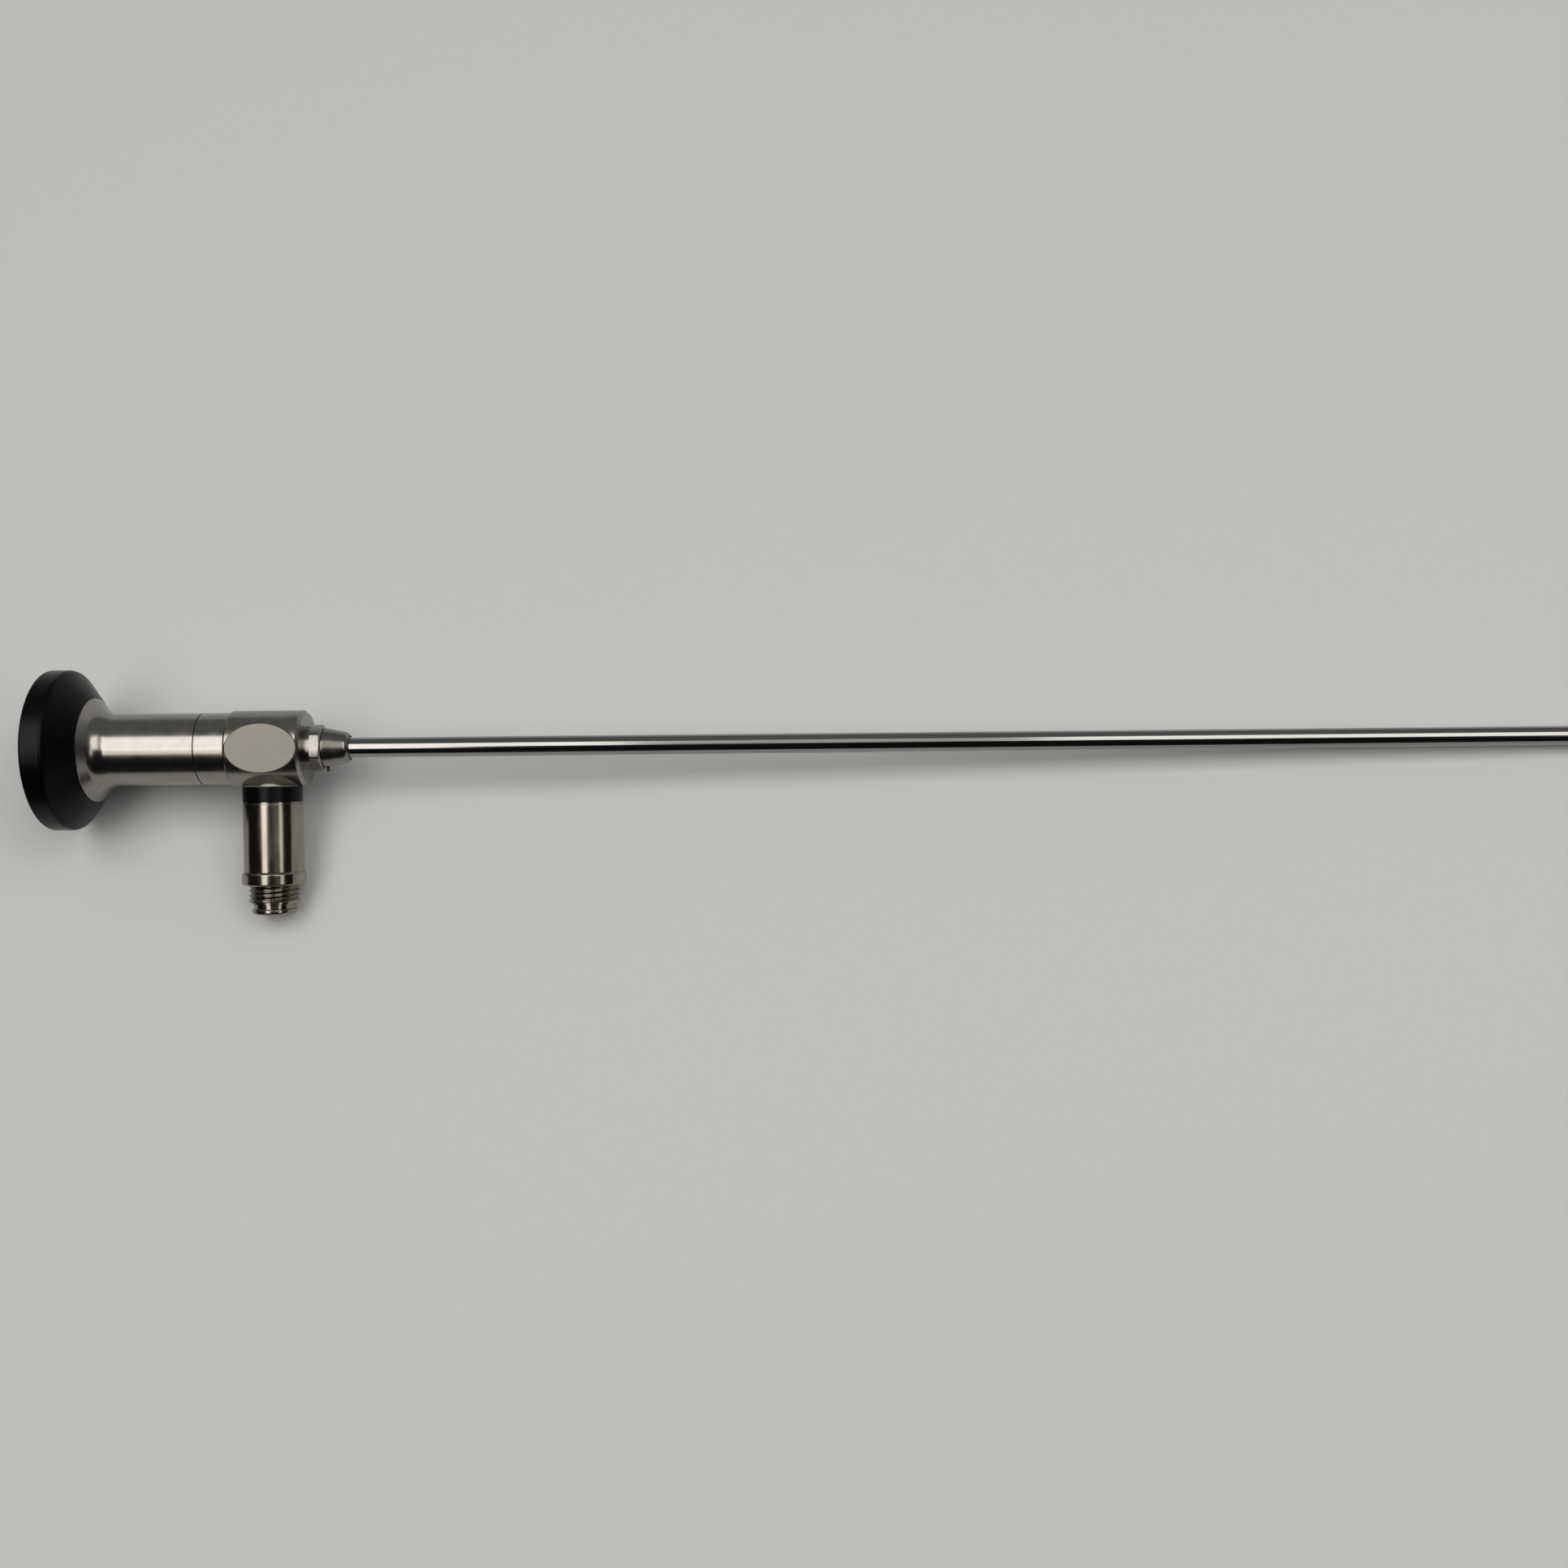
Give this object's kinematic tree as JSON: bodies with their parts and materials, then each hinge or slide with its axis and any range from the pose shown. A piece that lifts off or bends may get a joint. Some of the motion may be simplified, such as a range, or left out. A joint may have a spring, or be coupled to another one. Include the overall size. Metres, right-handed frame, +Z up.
{
  "type": "rigid endoscope",
  "caption": "Rigid rod-lens telescope for endoscopy: flared black eyecup, satin steel body with a screwed light post, hexagonal coupling cone and long slim polished shaft.",
  "frame": {"origin": "bottom centre of the instrument's box as it lies on a table", "axes": "+X towards the tip, -Y the side to which the light post leans, +Z up"},
  "size_m": [0.3604, 0.0486, 0.0319],
  "materials": {
    "satin_steel": "satin",
    "blasted_steel": "satin",
    "polished_steel": "polished",
    "nickel_plate": "satin",
    "badge_steel": "satin",
    "tube_steel": "satin",
    "black_plastic": "satin",
    "black_anodised": "matte",
    "optical_glass": "polished",
    "sapphire": "polished",
    "fibre_glass": "polished"
  },
  "bodies": {
    "root": {"body_ring": "satin_steel", "clamp_ring": "nickel_plate", "coupling_cone": "blasted_steel", "eye_lens": "optical_glass", "eye_lens_flint": "optical_glass", "eyecup": "black_plastic", "eyepiece_housing": "satin_steel", "eyepiece_window": "sapphire", "field_lens": "optical_glass", "field_stop": "black_anodised", "front_lens": "optical_glass", "index_pin": "satin_steel", "insulating_ring": "black_plastic", "lens_retainer": "black_anodised", "lens_spacer": "black_anodised", "light_block": "blasted_steel", "light_ferrule": "satin_steel", "light_fibres": "fibre_glass", "objective_cell": "tube_steel", "objective_lens": "optical_glass", "objective_spacer": "tube_steel", "ocular_cell": "black_anodised", "optics_tube": "tube_steel", "oval_badge": "badge_steel", "post_base": "satin_steel", "post_nipple": "nickel_plate", "post_sleeve": "nickel_plate", "rod_lens_1": "optical_glass", "rod_lens_2": "optical_glass", "rod_lens_3": "optical_glass", "rod_lens_4": "optical_glass", "rod_lens_5": "optical_glass", "rod_lens_6": "optical_glass", "rod_spacer_1": "tube_steel", "rod_spacer_2": "tube_steel", "rod_spacer_3": "tube_steel", "rod_spacer_4": "tube_steel", "rod_spacer_5": "tube_steel", "shaft_tube": "polished_steel", "stop_spring": "black_anodised", "tip_window": "sapphire", "tube_carrier": "black_anodised", "window_ring": "satin_steel"}
  },
  "joints": []
}
